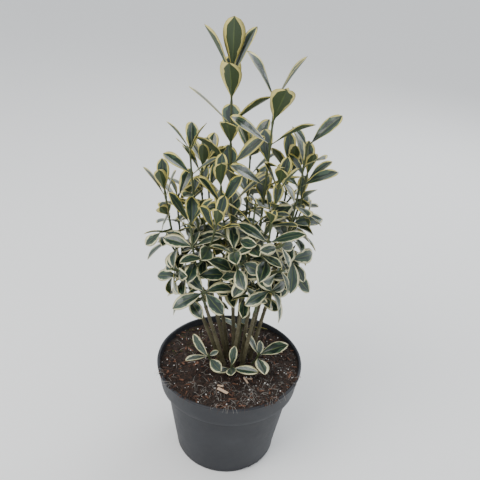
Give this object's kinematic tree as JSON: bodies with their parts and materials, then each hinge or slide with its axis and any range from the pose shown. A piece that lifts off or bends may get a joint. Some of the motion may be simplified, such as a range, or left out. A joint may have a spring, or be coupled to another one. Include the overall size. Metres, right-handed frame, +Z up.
{
  "type": "potted variegated evergreen spindle shrub",
  "caption": "Young variegated evergreen spindle shrub with yellow and cream leaf margins, many-stemmed, in a round black plastic nursery pot of compost.",
  "frame": {"origin": "middle of the pot's flat underside", "axes": "+Z up along the pot's axis, +X to the right as seen from the plant's front, +Y towards its back"},
  "size_m": [0.1904, 0.1824, 0.4996],
  "materials": {
    "pot_plastic": "moulded charcoal plastic, soft sheen",
    "compost": "damp peaty compost with bark, fibre and perlite",
    "bark": "thin olive-brown young bark",
    "foliage": "leathery dark green leaves with yellow and cream margins"
  },
  "bodies": {
    "root": {"pot": "pot_plastic", "compost": "compost", "cane_leader": "bark", "cane_right_leader": "bark", "cane_right": "bark", "cane_left": "bark", "cane_far_left": "bark", "cane_front_left": "bark", "cane_front": "bark", "cane_front_right": "bark", "cane_back_left": "bark", "cane_back": "bark", "cane_back_right": "bark", "foliage_leader": "foliage", "foliage_right_leader": "foliage", "foliage_right": "foliage", "foliage_left": "foliage", "foliage_far_left": "foliage", "foliage_front_left": "foliage", "foliage_front": "foliage", "foliage_front_right": "foliage", "foliage_back_left": "foliage", "foliage_back": "foliage", "foliage_back_right": "foliage", "sprig_left": "foliage", "sprig_front": "foliage", "sprig_right": "foliage", "sprig_back": "foliage"}
  },
  "joints": []
}
